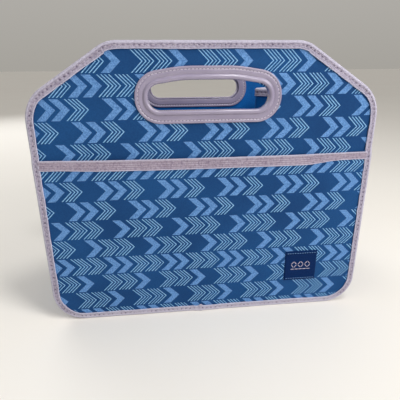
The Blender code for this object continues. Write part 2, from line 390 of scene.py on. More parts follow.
def stitches(name, centres, along, out, length, radius):
    """A row of short threads, each dipping into the cloth at both its ends."""
    sides = 6
    sink = 0.0005
    profile = [(-1.0, 0.15), (-0.93, 0.6), (-0.6, 1.0), (0.0, 1.0), (0.6, 1.0), (0.93, 0.6), (1.0, 0.15)]
    out = np.broadcast_to(out, centres.shape)
    side = np.cross(along, out)
    quads = grid_quads(len(profile), sides, False, True)
    points = []
    faces = []
    for centre, ahead, up, aside in zip(centres, along, out, side):
        start = len(points)
        for place, share in profile:
            middle = centre + ahead * (place * length / 2) - up * (sink * place ** 4)
            for step in range(sides):
                angle = 2 * math.pi * step / sides
                points.append(middle + (up * math.cos(angle) + aside * math.sin(angle)) * radius * share)
        faces += [tuple(start + index for index in quad) for _, _, quad in quads]
        faces.append(tuple(range(start, start + sides)))
        faces.append(tuple(range(len(points) - sides, len(points))))
    return mesh_object(name, points, faces)


# ---- Materials ----

def srgb(red, green, blue):
    """A colour given as 0-255 values, in the renderer's linear units."""
    linear = []
    for value in (red, green, blue):
        share = value / 255
        linear.append(share / 12.92 if share <= 0.04045 else ((share + 0.055) / 1.055) ** 2.4)
    return (*linear, 1.0)


class Look:
    """A Principled material with short ways to add nodes."""

    def __init__(self, name, roughness, sheen=0.0, coat=0.0, specular=0.5):
        self.material = bpy.data.materials.new(name)
        self.material.use_nodes = True
        self.nodes = self.material.node_tree.nodes
        self.shader = self.nodes["Principled BSDF"]
        self.feed(self.shader, {"Roughness": roughness, "Specular IOR Level": specular,
                                "Sheen Weight": sheen, "Sheen Roughness": 0.5,
                                "Coat Weight": coat, "Coat Roughness": 0.25})

    def feed(self, node, inputs):
        """Links or sets inputs of a node, given as {socket: output or value}."""
        for socket, value in inputs.items():
            if isinstance(value, bpy.types.NodeSocket):
                self.material.node_tree.links.new(value, node.inputs[socket])
            else:
                node.inputs[socket].default_value = value
        return node

    def add(self, kind, inputs=None):
        return self.feed(self.nodes.new("ShaderNode" + kind), inputs or {})

    def math(self, operation, *values):
        node = self.add("Math", dict(enumerate(values)))
        node.operation = operation
        return node.outputs[0]

    def times(self, first, second):
        return self.math("MULTIPLY", first, second)

    def plus(self, first, second):
        return self.math("ADD", first, second)

    def apart(self, first, second):
        return self.math("ABSOLUTE", self.math("SUBTRACT", first, second))

    def uv(self, name):
        """The two coordinates of a UV layer."""
        source = self.add("UVMap")
        source.uv_map = name
        return self.add("SeparateXYZ", {0: source.outputs[0]}).outputs[:2]

    def height(self):
        """The height above the floor, on a piece at rest."""
        place = self.add("TexCoord").outputs["Object"]
        return self.add("SeparateXYZ", {0: place}).outputs[2]

    def noise(self, size, detail=2.0, stretch=(1.0, 1.0, 1.0)):
        """Noise fixed to the piece's own coordinates, with features about size wide."""
        place = self.add("TexCoord").outputs["Object"]
        scaled = self.add("Mapping", {"Vector": place, "Scale": stretch}).outputs[0]
        texture = self.add("TexNoise", {"Vector": scaled, "Scale": 1.0 / size, "Detail": detail})
        return texture.outputs["Fac"]

    def mix(self, share, first, second):
        node = self.add("Mix")
        node.data_type = "RGBA"
        self.feed(node, {0: share, 6: first, 7: second})
        return node.outputs[2]

    def ramp(self, share, stops):
        """A ramp of sharp steps; stops are (position, colour)."""
        node = self.add("ValToRGB", {0: share})
        node.color_ramp.interpolation = "CONSTANT"
        elements = node.color_ramp.elements
        elements.remove(elements[1])
        for index, (position, color) in enumerate(stops):
            element = elements[0] if index == 0 else elements.new(position)
            element.position = position
            element.color = color
        return node.outputs[0]

    def spread(self, share, low, high):
        """Stretches the part of a value between low and high to 0 to 1."""
        return self.add("MapRange", {"Value": share, "From Min": low, "From Max": high}).outputs[0]

    def patches(self, size, low, high, detail=2.0, stretch=(1.0, 1.0, 1.0)):
        """Noise with more contrast: 0 up to low, 1 from high."""
        return self.spread(self.noise(size, detail, stretch), low, high)

    def weave(self, u, v, pitch):
        """A plain weave's height, for coordinates in the unit of pitch."""
        turn = math.pi / pitch
        over = self.math("SINE", self.times(u, turn))
        under = self.math("SINE", self.times(v, turn))
        return self.times(over, under)

    def bump(self, height, distance, strength):
        bump = self.add("Bump", {"Strength": strength, "Distance": distance, "Height": height})
        self.feed(self.shader, {"Normal": bump.outputs[0]})

    def color(self, socket):
        self.feed(self.shader, {"Base Color": socket})


def motif_stops(pattern):
    """The stops of one row's period: red where an arrow is solid, green on its lines."""
    off = (0.0, 0.0, 0.0, 1.0)
    stops = []
    place = 0.0
    for index, motif in enumerate(pattern):
        if motif == "S":
            stops += [(place, (1.0, 0.0, 0.0, 1.0)), (place + SOLID_WIDTH, off)]
            place += SOLID_WIDTH
        else:
            for line in range(LINES_IN_MOTIF):
                start = place + line * LINE_PITCH
                stops += [(start, (0.0, 1.0, 0.0, 1.0)), (start + LINE_WIDTH, off)]
            place += (LINES_IN_MOTIF - 1) * LINE_PITCH + LINE_WIDTH
        place += MOTIF_GAP.get(pattern[index:index + 2], 0.0)
    return [(position / PRINT_PERIOD, color) for position, color in stops]


def arrow_masks(look, u, v):
    """Where the print's solid arrows and its line arrows are, from UV in row heights."""
    row = look.math("FLOOR", look.plus(v, 0.5))
    arm = look.apart(v, row)
    count = len(PRINT_ROWS)
    cycle = look.math("MODULO", look.plus(row, 0.5), float(count))
    share = look.math("DIVIDE", cycle, float(count))
    phases = []
    kinds = []
    for index, (pattern, phase) in enumerate(PRINT_ROWS):
        value = phase / PRINT_PERIOD
        phases.append((index / count, (value, value, value, 1.0)))
        kinds.append((index / count, (pattern == "SSLL", pattern == "SSL", pattern == "SLL", 1.0)))
    turns = look.math("DIVIDE", look.plus(u, arm), PRINT_PERIOD)
    along = look.math("FRACT", look.math("SUBTRACT", turns, look.ramp(share, phases)))
    which = look.add("SeparateColor", {0: look.ramp(share, kinds)}).outputs
    masks = look.ramp(along, motif_stops("LLS"))
    for channel, pattern in enumerate(("SSLL", "SSL", "SLL")):
        masks = look.mix(which[channel], masks, look.ramp(along, motif_stops(pattern)))
    solid, line = look.add("SeparateColor", {0: masks}).outputs[:2]
    inside = look.math("LESS_THAN", arm, ARM_REACH)
    return look.times(solid, inside), look.times(line, inside)


def printed_fabric():
    look = Look("printed_fabric", roughness=0.8, specular=0.16)
    u, v = look.uv("print")
    solid, line = arrow_masks(look, u, v)
    drift = look.patches(0.09, 0.35, 0.65)
    speckle = look.patches(0.0013, 0.38, 0.62, detail=4.0)
    base = look.mix(drift, srgb(20, 64, 114), srgb(26, 76, 130))
    base = look.mix(look.times(speckle, 0.30), base, srgb(14, 48, 98))
    paint = look.mix(speckle, srgb(74, 119, 176), srgb(109, 154, 209))
    threads = look.mix(speckle, srgb(112, 164, 212), srgb(144, 192, 228))
    look.color(look.mix(line, look.mix(solid, base, paint), threads))
    look.bump(look.weave(u, v, PRINT_WEAVE / ROW_HEIGHT), 0.00012, 0.7)
    return look.material


def lining_fabric():
    look = Look("lining_fabric", roughness=0.65, specular=0.15)
    u, v = look.uv("print")
    drift = look.patches(0.05, 0.35, 0.65)
    grain = look.patches(0.0012, 0.35, 0.65, detail=3.0)
    base = look.mix(drift, srgb(3, 80, 150), srgb(5, 97, 174))
    look.color(look.mix(look.times(grain, 0.35), base, srgb(9, 112, 192)))
    look.bump(look.weave(u, v, LINING_WEAVE / ROW_HEIGHT), 0.00015, 0.6)
    return look.material


def needle_pits(look, along, across, stitch_row):
    """Painted shade in the needle pits: dark spots one stitch apart on a row across the tape, some deeper
    than others.
    """
    place = look.math("FRACT", look.plus(along, 0.5))
    from_pit = look.apart(place, 0.5)
    from_row = look.apart(across, stitch_row)
    pit = look.spread(look.plus(from_pit, look.times(from_row, 1.8)), 0.34, 0.10)
    return look.times(pit, look.patches(0.006, 0.30, 0.62, detail=1.0))


def binding_tape(name, dark, light, stitch_row, pit_shade_depth, line_depth):
    """Ribbed tape with a pale selvedge, a painted highlight on its fold and painted light near the floor.

    Its UV counts stitches along the tape and is 0 to 1 across a leg. stitch_row is where its needle
    pits are, and the two depths say how dark the painted shade in the pits and the lines along the tape are.
    """
    look = Look(name, roughness=0.88, sheen=0.05, specular=0.15)
    along, across = look.uv("tape")
    drift = look.patches(0.02, 0.3, 0.7)
    fuzz = look.patches(0.0016, 0.36, 0.64, detail=4.0)
    flecks = look.patches(0.0026, 0.52, 0.66, detail=3.0)
    base = look.mix(drift, dark, light)
    base = look.mix(look.times(fuzz, 0.55), base, srgb(193, 186, 205))
    base = look.mix(look.times(flecks, 0.55), base, srgb(112, 97, 124))
    # Painted light: the tape is painted paler within about 12 mm of the floor.
    base = look.mix(look.times(look.spread(look.height(), 0.012, 0.003), 0.45), base,
                    srgb(222, 218, 234))
    lines = look.spread(look.math("SINE", look.times(across, 2 * math.pi * TAPE_LINES)), -0.2, 1.0)
    base = look.mix(look.times(lines, line_depth), base, srgb(120, 104, 124))
    # Painted highlight: the tape is painted paler along its fold.
    fold = look.spread(across, 0.12, 0.04)
    base = look.mix(look.times(fold, 0.45), base, srgb(208, 206, 224))
    selvedge = look.spread(across, 0.86, 0.93)
    base = look.mix(look.times(selvedge, 0.65), base, srgb(208, 206, 228))
    # Painted shade: the needle pits are darkened, more in some places than in others.
    pit_shade = look.times(needle_pits(look, along, across, stitch_row), pit_shade_depth)
    look.color(look.mix(pit_shade, base, srgb(84, 72, 96)))
    ribs = look.math("SINE", look.times(along, 2 * math.pi * RIBS_PER_STITCH))
    look.bump(look.plus(look.times(ribs, 0.35), fuzz), 0.00030, 0.8)
    return look.material


def moulded_plastic():
    look = Look("moulded_plastic", roughness=0.3, coat=0.9, specular=0.5)
    drift = look.patches(0.03, 0.3, 0.7)
    grain = look.noise(0.0009, detail=3.0)
    look.color(look.mix(drift, srgb(141, 133, 157), srgb(153, 145, 168)))
    look.feed(look.shader, {"Roughness": look.math("MULTIPLY_ADD", grain, 0.16, 0.15)})
    look.bump(grain, 0.00006, 0.4)
    return look.material


def thread(name, color, pale):
    look = Look(name, roughness=0.7, sheen=0.05, specular=0.2)
    twist = look.noise(0.0007, detail=2.0)
    look.color(look.mix(twist, color, pale))
    look.bump(twist, 0.0001, 0.8)
    return look.material


def stiffener_board():
    look = Look("stiffener_board", roughness=0.9, specular=0.2)
    fibre = look.patches(0.002, 0.3, 0.7, detail=5.0, stretch=(1.0, 1.0, 0.25))
    look.color(look.mix(fibre, srgb(176, 164, 142), srgb(205, 195, 172)))
    look.bump(fibre, 0.0001, 0.5)
    return look.material


def woven_label():
    look = Look("woven_label", roughness=0.65, specular=0.08)
    u, v = look.uv("print")
    grain = look.patches(0.0010, 0.35, 0.65, detail=3.0)
    look.color(look.mix(grain, srgb(2, 30, 76), srgb(5, 42, 92)))
    look.bump(look.weave(u, v, LABEL_WEAVE / ROW_HEIGHT), 0.00012, 0.8)
    return look.material


# ---- Placing pieces ----


def frame_at(origin, along, up):
    """A placing matrix: local X runs along, local Y runs up, local Z is their normal."""
    x_axis = Vector(along)
    y_axis = Vector(up)
    matrix = Matrix((x_axis, y_axis, x_axis.cross(y_axis))).transposed().to_4x4()
    matrix.translation = Vector(origin)
    return matrix


def dress(obj, material, nodes=()):
    """Gives a piece its material and slot, and hides the CAD nodes that it stands for."""
    obj.data.materials.append(materials[material])
    if nodes:
        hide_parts(*nodes)
    return obj


def on_wall(obj, side, material, nodes=()):
    """Moves a piece from the wall's frame to its wall, and makes it ride there."""
    obj.data.transform(WALL_PLACES[side])
    dress(obj, material, nodes)
    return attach(obj, f"{side}_wall")


# ---- Wall fabrics ----

def ring_grid(inset, outset, height):
    """A grid of points from the hand hole to the wall's edge; height gives each point's depth."""
    outer = Path(wall_outline(inset), closed=True)
    inner = Path(hole_outline(outset), closed=True)
    shares = np.arange(WALL_STATIONS) / WALL_STATIONS
    rim = outer.at(shares * outer.length)[:, None]
    eye = inner.at(shares * inner.length)[:, None]
    reach = (np.linspace(0.0, 1.0, WALL_STEPS) ** 1.25)[None, :, None]
    flat = eye + (rim - eye) * reach
    edge = np.linalg.norm(rim - flat, axis=-1)
    return lift(flat, height(flat, edge))


def print_uv(grid, top, shift=0.0):
    """Print coordinates in row heights; top is the height of the first row's tips."""
    u = grid[..., 0] / ROW_HEIGHT - shift
    v = (top - grid[..., 1]) / ROW_HEIGHT + ROWS_ABOVE
    return together(u, v)


def outer_surface(flat, edge):
    """Cloth over board: faint waves, drawn down where the binding is sewn on."""
    waves = WAVE_HEIGHT * field(flat, 0.07, seed=3.0)
    drawn = 0.0005 * np.exp(-np.maximum(edge - TAPE_WIDTH, 0.0) / 0.004)
    return WALL_THICKNESS + waves - drawn


def make_wall_fabrics(side):
    front = ring_grid(TAPE + GAP, HOLE_CLEARANCE, outer_surface)
    back = front - (0.0, 0.0, CLOTH)
    cover = slab(f"{side}_printed_cover", front, back, print_uv(front, UPPER_PRINT_TOP), closed=True)
    on_wall(cover, side, "printed_fabric", [f"{side}_outer_fabric"])
    low = ring_grid(TAPE + GAP, HOLE_CLEARANCE, lambda flat, edge: 0.00025 * field(flat, 0.06, seed=9.0))
    high = low + (0.0, 0.0, CLOTH)
    lining = slab(f"{side}_wall_lining", low, high, print_uv(low, UPPER_PRINT_TOP), closed=True)
    on_wall(lining, side, "lining_fabric", [f"{side}_lining"])


# ---- Tapes ----

def rounding(shares):
    """How a tape's thickness falls off at its outer edge, where the share is 1."""
    return np.sqrt(np.clip((1.0 - shares) / 0.05, 0.0, 1.0))


def join_legs(legs):
    """One section for each station, from its legs' (across, out) values in order."""
    return np.concatenate([together(*leg) for leg in legs], axis=1)


def tape_rows(width, low, high, pitch, wrinkle, distances, flat):
    """Sections of a folded tape, two legs over an edge, and how far across it their points are.

    width, low and high are one value per station; flat holds the stations' places, for noise;
    wrinkle scales how uneven the tape is.
    """
    shares = np.array(TAPE_SHARES)
    to_pit = np.abs(np.mod(distances / pitch + 0.5, 1.0) - 0.5) * pitch
    pit = bell(to_pit, 0.0, PIT_LENGTH)[:, None]
    inward = width[:, None] * shares
    places = together(flat[:, None, 0], flat[:, None, 1], inward)
    uneven = wrinkle * (field(places, 0.0032, seed=5.0) + 0.7 * field(places, 0.010, seed=8.0))
    groove = bell(shares, STITCH_ROW, 0.085)
    selvedge = bell(shares, 0.94, 0.04)
    rise = TAPE * (0.40 + 0.70 * rounding(shares) + 0.25 * selvedge + uneven - groove * (0.30 + 0.80 * pit))
    turns = np.radians(np.array([0.0, 25.0, 50.0, 75.0, 90.0]))
    bulge = TAPE * (1.1 + 0.5 * uneven[:, -1:])
    arc_in = TAPE_CORNER * (1.0 - np.sin(turns))[None]
    arc_out = TAPE_CORNER * (1.0 - np.cos(turns))
    hidden = np.stack([width - 0.0003, np.full(len(flat), TAPE)], axis=1)
    under = low[:, None] - GAP
    over = high[:, None] + GAP
    legs = [(inward, over + rise), (arc_in, over + bulge - arc_out),
            (arc_in[:, ::-1], (under - bulge + arc_out)[:, ::-1]), (inward[:, ::-1], (under - rise)[:, ::-1]),
            (hidden, under), (hidden[:, ::-1], over)]
    across = np.concatenate([shares, np.zeros(2 * len(turns)), shares[::-1], np.ones(5)])
    return join_legs(legs), across


def even_distances(path, step):
    """Evenly spaced distances along a path, with the end included."""
    return np.linspace(0.0, path.length, max(2, round(path.length / step)) + 1)


def whole_pitch(length, pitch):
    """The pitch nearest to the wanted one that divides a length evenly."""
    return length / round(length / pitch)


def closed_seam(path, wanted):
    """The pitch nearest to the wanted one for a closed path, and its stitches' places."""
    pitch = whole_pitch(path.length, wanted)
    return pitch, (np.arange(round(path.length / pitch)) + 0.5) * pitch


def sew(name, side, line, along, depth, sign, pitch, material):
    """A row of stitches on a wall; line and along lie in its plane, sign says which way they face."""
    share, radius = STITCH_SIZES[material]
    row = stitches(name, lift(line, depth), lift(along), (0.0, 0.0, sign), pitch * share, radius)
    on_wall(row, side, material)


def front_height(side, height):
    """How far out the cloth under the binding's outer leg is, at a height up the wall."""
    if side == "back":
        return np.full(np.shape(height), WALL_THICKNESS)
    share = smoothstep(POCKET_TOP - 0.004, POCKET_TOP + 0.006, height)
    return POCKET_FACE + (WALL_THICKNESS - POCKET_FACE) * share


def tape_overlap(flat):
    """How far each point of the edge lies under the tape's overlapping end, and in its raised corner."""
    at_foot = flat[:, 1] < FOOT_RADIUS / 4
    start, end = TAPE_END
    covered = smoothstep(start, start + 0.0008, flat[:, 0]) * smoothstep(end, end - 0.0008, flat[:, 0])
    corner = bell(flat[:, 0], TAPE_END_PEAK, 0.0018)
    return covered * at_foot, corner * at_foot


def make_edge_binding(side):
    path = Path(wall_outline(0.0), closed=True)
    marks = even_distances(path, EDGE_TAPE_STEP)
    distances = marks[:-1]
    pitch, middles = closed_seam(path, STITCH_PITCH)
    flat = path.at(distances)
    covered, corner = tape_overlap(flat)
    width = TAPE_WIDTH * (1.0 + 0.05 * field(flat, 0.009, seed=2.0) + 0.06 * field(flat, 0.045, seed=4.0))
    sloping = smoothstep(SHOULDER_HEIGHT, SHOULDER_HEIGHT + 0.012, flat[:, 1])
    width = width + 0.0026 * corner + 0.0009 * sloping * (flat[:, 1] < WALL_HEIGHT - 0.004)
    high = front_height(side, flat[:, 1]) + TAPE * (0.9 * covered + 0.9 * corner)
    rows, across = tape_rows(width, np.zeros(len(flat)), high, pitch, EDGE_WRINKLE, distances, flat)
    inward = lift(path.left(distances))
    tape = sweep(f"{side}_edge_tape", lift(flat), inward, OUTWARD, rows, marks / pitch, across, True)
    on_wall(tape, side, "binding_tape", [f"{side}_edge_binding"])
    seam = path.at(middles) + path.left(middles) * (TAPE_WIDTH * STITCH_ROW)
    above = GAP + STITCH_LEVEL * TAPE
    outer = front_height(side, seam[:, 1]) + above
    for face, depth, sign in (("outer", outer, 1.0), ("inner", -above, -1.0)):
        sew(f"{side}_{face}_edge_stitches", side, seam, path.along(middles), depth, sign, pitch,
            "tape_thread")


# ---- Moulded handle rings ----

def arc(centre, radius, start, end, steps):
    """Points on an arc in the section's plane, from start to end in degrees."""
    angles = np.radians(np.linspace(start, end, steps))
    return [(centre[0] + radius * math.cos(a), centre[1] + radius * math.sin(a)) for a in angles]


def outer_ring_section():
    """From the sleeve's end, over the rolled lip, the groove and the flange to its outer edge.

    Each point is (distance outward from the hole's edge, height above the cloth).
    """
    lip = LIP_WIDTH / 2
    sleeve_end = -WALL_THICKNESS - 2 * GAP
    points = [(0.0, sleeve_end), (0.0, sleeve_end / 2), (0.0, -0.0005)]
    points += arc((lip, LIP_PROUD - lip), lip, 180.0, 8.0, 18)
    points += [(0.0050, 0.00150), (0.0054, 0.00142), (0.0059, 0.00152), (0.0066, 0.00178), (0.0076, 0.00196),
               (0.0088, 0.00202), (0.0093, 0.00198), (0.0096, 0.00184), (0.0099, 0.00144), (0.0102, 0.00132),
               (0.0105, 0.00144), (0.0108, 0.00184), (0.0112, 0.00202), (0.0117, 0.00204)]
    points += arc((0.0122, 0.00100), 0.0010, 80.0, 0.0, 7)
    points += [(RING_WIDTH, 0.0), (SLEEVE_THICKNESS, 0.0), (SLEEVE_THICKNESS, sleeve_end)]
    return points


def inner_ring_section():
    """The flat ring on the lining's side; the heights count away from the lining."""
    inside = SLEEVE_THICKNESS + GAP
    points = [(inside, 0.0), (inside, 0.0014)]
    points += arc((inside + 0.0007, 0.0014), 0.0007, 180.0, 90.0, 5)
    points += [(0.0050, 0.00220), (0.0080, 0.00220), (0.0095, 0.00208), (0.0099, 0.00170), (0.0102, 0.00158),
               (0.0105, 0.00170), (0.0109, 0.00206)]
    points += arc((0.0122, 0.0011), 0.0011, 80.0, 0.0, 6)
    points += [(RING_WIDTH, 0.0)]
    return points


def make_ring(name, side, section, base, sign, node):
    """Carries a ring's section round the hole; base is its foot's depth, sign its facing."""
    path = Path(hole_outline(0.0), closed=True)
    marks = even_distances(path, RING_STEP)
    flat = path.at(marks[:-1])
    rows = np.tile(np.array(section)[None], (len(flat), 1, 1))
    away = lift(-path.left(marks[:-1]))
    across = np.zeros(len(section) + 1)
    ring = sweep(name, lift(flat, base), away, (0.0, 0.0, sign), rows, marks, across, True)
    on_wall(ring, side, "moulded_plastic", [node])
    seam = Path(hole_outline(RING_STITCH_PLACE), closed=True)
    pitch, middles = closed_seam(seam, HANDLE_STITCH_PITCH)
    sew(f"{name}_stitches", side, seam.at(middles), seam.along(middles),
        base + sign * RING_STITCH_HEIGHT, sign, pitch, "plastic_thread")


def make_handles(side):
    make_ring(f"{side}_handle_flange", side, outer_ring_section(), WALL_THICKNESS + GAP, 1.0,
              f"{side}_handle_outer")
    make_ring(f"{side}_handle_liner", side, inner_ring_section(), -GAP, -1.0, f"{side}_handle_inner")


# ---- Slip pocket ----

def pocket_bulge(flat):
    """The pocket's cloth stands off most at the middle of its mouth."""
    x = flat[..., 0] / (HALF_WALL - 0.012)
    up = np.clip(flat[..., 1] / POCKET_TOP, 0.0, 1.0)
    mouth = POCKET_BULGE * np.clip(1.0 - x * x, 0.0, 1.0) ** 1.5 * up ** 3
    return mouth + WAVE_HEIGHT * field(flat, 0.06, seed=13.0)


def above_pocket(flat, rise):
    """The depth of a surface that lies rise above the pocket's cloth."""
    return POCKET_FACE + GAP + rise + pocket_bulge(flat)


def wall_half_width(heights, inset):
    """Half the width of the wall's outline at each height."""
    right = np.array([point for point in wall_outline(inset) if point[0] > 0])
    return np.interp(heights, right[:, 1], right[:, 0])


def make_pocket_panel():
    inset = TAPE + GAP
    rows_in_curve, rows_above = POCKET_ROWS
    foot = np.radians(np.linspace(0.0, 90.0, rows_in_curve))
    curved = inset + (FOOT_RADIUS - inset) * (1.0 - np.cos(foot))
    straight = np.linspace(FOOT_RADIUS, POCKET_TOP - TAPE - GAP, rows_above)
    heights = np.concatenate([curved[:-1], straight])
    half = wall_half_width(heights, inset)
    flat = together(half[:, None] * np.linspace(-1.0, 1.0, SHEET_COLUMNS)[None], heights[:, None])
    front = lift(flat, POCKET_FACE + pocket_bulge(flat))
    back = front - (0.0, 0.0, CLOTH)
    panel = slab("front_pocket_cloth", front, back, print_uv(front, POCKET_PRINT_TOP, POCKET_PRINT_SHIFT))
    on_wall(panel, "front", "printed_fabric", ["front_pocket_panel"])


def make_pocket_tape():
    """A flat band folded over the pocket's mouth, narrower towards its ends."""
    end = HALF_WALL - POCKET_TAPE_END
    along = np.linspace(-end, end, 300)
    rise = 0.0010 * smoothstep(0.55, 1.0, np.abs(along) / end)
    top = together(along, POCKET_TOP + rise)
    width = 0.0115 - 0.0012 * smoothstep(-0.10, -0.17, along) - 0.0034 * smoothstep(0.105, 0.145, along)
    width = width + 0.00025 * field(top, 0.02, seed=21.0)
    shares = np.array([1.0, 0.985, 0.955, 0.91, 0.86, 0.78, 0.65, 0.5, 0.35, 0.22, 0.14, 0.09, 0.045])
    down = width[:, None] * shares
    places = together(top[:, None, 0], top[:, None, 1] - down)
    selvedges = bell(shares, 0.94, 0.04) + bell(shares, 0.08, 0.04)
    uneven = 0.00014 * field(places, 0.006, seed=23.0)
    stand = above_pocket(places, 0.0)
    face = stand + TAPE * (0.35 + 0.55 * rounding(shares) + 0.40 * selvedges) + uneven
    crest = stand[:, -1:]
    over = np.array([[0.0, -0.0004, 0.0]])
    behind = stand - CLOTH - GAP
    legs = [(down, face), (over, crest + np.array([0.5 * TAPE, -0.5 * CLOTH, -CLOTH - GAP])),
            (down[:, ::-1], behind[:, ::-1] - GAP), (down[:, [0, -1]], behind[:, [0, -1]]),
            (down[:, [-1, 0]], stand[:, [-1, 0]])]
    across = np.concatenate([shares, np.zeros(3), shares[::-1], np.ones(5)])
    marks = (along + end) / STITCH_PITCH
    tape = sweep("front_pocket_band", lift(top), (0.0, -1.0, 0.0), OUTWARD, join_legs(legs), marks, across,
                 False)
    on_wall(tape, "front", "pocket_tape", ["front_pocket_tape"])


# ---- Label ----

def make_label():
    low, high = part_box("front_label")
    middle = (low + high) / 2
    half = (high.x - low.x) / 2
    across = np.linspace(-1.0, 1.0, 41)
    edge = together(*np.meshgrid(across, across))
    flat = (middle.x, middle.z) + half * edge
    edge = np.abs(edge)
    folded = 0.00045 * smoothstep(0.84, 0.90, edge[..., 1])
    drop = 0.0006 * (np.clip(edge.max(axis=-1) - 0.97, 0.0, 1.0) / 0.03) ** 2
    front = lift(flat, above_pocket(flat, LABEL_THICKNESS) + folded - drop)
    back = lift(flat, POCKET_FACE + 0.0001 + pocket_bulge(flat))
    label = slab("front_sewn_label", front, back, print_uv(front, 0.0))
    on_wall(label, "front", "woven_label", ["front_label"])
    count = round(2 * half * LABEL_SEAM_LENGTH / LABEL_STITCH_PITCH)
    places = middle.x + (np.arange(count) - (count - 1) / 2) * LABEL_STITCH_PITCH
    ahead = np.tile((1.0, 0.0), (count, 1))
    for name, sign in (("top", 1.0), ("bottom", -1.0)):
        line = together(places, middle.z + sign * half * LABEL_SEAM_PLACE)
        sew(f"label_{name}_stitches", "front", line, ahead, above_pocket(line, LABEL_STITCH_HEIGHT), 1.0,
            LABEL_STITCH_PITCH, "label_thread")
    make_emblem(middle.x, middle.z)


def make_emblem(x, z):
    """A plain woven mark: three hollow diamonds over a rule."""
    half_width = 0.0036
    half_height = 0.0042
    side_length = math.hypot(half_width, half_height)
    centres = []
    along = []
    for place in (-1, 0, 1):
        for right in (-1, 1):
            for up in (-1, 1):
                centres.append((x + EMBLEM_PITCH * place + right * half_width / 2,
                                z + EMBLEM_RISE + up * half_height / 2))
                along.append((half_width / side_length, -right * up * half_height / side_length))
    for place in (-2, -1, 0, 1, 2):
        centres.append((x + place * side_length * 0.9, z - EMBLEM_RULE_DROP))
        along.append((1.0, 0.0))
    line = np.array(centres)
    sew("label_emblem", "front", line, np.array(along), above_pocket(line, LABEL_THICKNESS), 1.0,
        side_length, "emblem_thread")


# ---- Folding gussets and base ----

class Fold:
    """The profile of two half panels that meet at a crease, as (reach from the hinge plane, y).

    The panels' inner faces pass through the wall hinges, and their outer faces meet at the crease.
    """

    def __init__(self, kind):
        self.thickness = PANEL_THICKNESS[kind]
        tilt = math.asin((self.thickness + PANEL_MARGIN[kind]) / HALF_PANEL)
        run = Vector((math.sin(REST_FOLD), -math.cos(REST_FOLD)))
        facing = Vector((math.cos(REST_FOLD), math.sin(REST_FOLD)))
        self.run = run * math.cos(tilt) + facing * math.sin(tilt)
        self.facing = facing * math.cos(tilt) - run * math.sin(tilt)

    def point(self, depth, distance):
        return Vector((0.0, HINGE_Y)) + self.run * distance - self.facing * depth

    def profile(self, depth, start, radius):
        """The line of a layer depth below the inner face, from hinge to hinge, rounded at the crease."""
        first = self.point(depth, start)
        at_hinge = self.point(depth, 0.0)
        crease = at_hinge + self.run * (at_hinge.y / -self.run.y)
        last = Vector((first.x, -first.y))
        points = [tuple(first)] + round_corner(first, crease, last, radius) + [tuple(last)]
        return Path(points, closed=False)

    def layer(self, depth, radius):
        """A cloth layer's path, the distances of its stations and their places."""
        path = self.profile(depth, SKIN_START, radius)
        distances = fold_shares() * path.length
        return path, distances, path.at(distances)


def fold_shares():
    """Shares of a folding profile's length, closer together round the crease."""
    straight = np.linspace(0.0, 0.46, 30)
    crease = np.linspace(0.46, 0.54, 25)
    return np.concatenate([straight[:-1], crease, 1.0 - straight[::-1][1:]])


def bend_over_crease(obj):
    """Bakes a finished piece's placement into its mesh."""
    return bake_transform(obj)


def folding_skins(name, layers, fold, grid, place, bodies):
    """The outer and the inner cloth of two half panels, each one piece over the crease."""
    outer_radius, inner_radius = CREASE_RADII
    faces = ((fold.thickness, fold.thickness - THIN_CLOTH, outer_radius), (0.0, THIN_CLOTH, inner_radius))
    skins = []
    for (layer, material), (face, behind, radius) in zip(layers.items(), faces):
        front, uv = grid(fold, face, radius)
        back, _ = grid(fold, behind, radius)
        skin = slab(f"{name}_{layer}_sheet", place(front), place(back), uv)
        dress(skin, material, [f"{body}_{layer}" for body in bodies])
        skins.append(bend_over_crease(skin))
    return skins


def gusset_place(side, points):
    """Takes (reach, y, z) points to the world, for the right (+1) or the left (-1) gusset."""
    return together(side * (GUSSET_HINGE_X - points[..., 0]), points[..., 1], points[..., 2])


def base_place(points):
    """Takes (reach, y, x) points to the world for the base."""
    return together(points[..., 2], points[..., 1], BASE_HINGE_Z + points[..., 0])


def foot_height(reach):
    """Where a gusset ends below, higher near the walls to stay behind their rounded lower corners."""
    past_corner = np.clip(GUSSET_HINGE_X - reach - (HALF_WALL - FOOT_RADIUS), 0.0, FOOT_RADIUS)
    corner = FOOT_RADIUS - np.sqrt(FOOT_RADIUS ** 2 - past_corner ** 2)
    return np.maximum(GUSSET_FOOT, corner + GUSSET_CORNER_GAP)


def gusset_grid(fold, depth, radius):
    """A gusset layer's surface: upright rows of a folded profile, with some play in the lower cloth."""
    path, distances, line = fold.layer(depth, radius)
    foot = foot_height(line[:, 0])[:, None]
    heights = foot + (GUSSET_TOP - TAPE - GAP - foot) * np.linspace(0.0, 1.0, GUSSET_ROWS)
    flat = together(line[:, None, 0], line[:, None, 1], heights)
    from_hinge = np.minimum(distances, path.length - distances)
    below = smoothstep(0.0, 0.03, from_hinge[:, None] + BASE_HINGE_Z + BOARD_END_GAP - heights)
    play = GUSSET_SLACK * below * field(flat, 0.035, seed=31.0 + depth)
    flat[..., :2] += path.left(distances)[:, None] * play[..., None]
    uv = together(distances[:, None] / ROW_HEIGHT, (GUSSET_TOP - heights) / ROW_HEIGHT + ROWS_ABOVE)
    return flat, uv


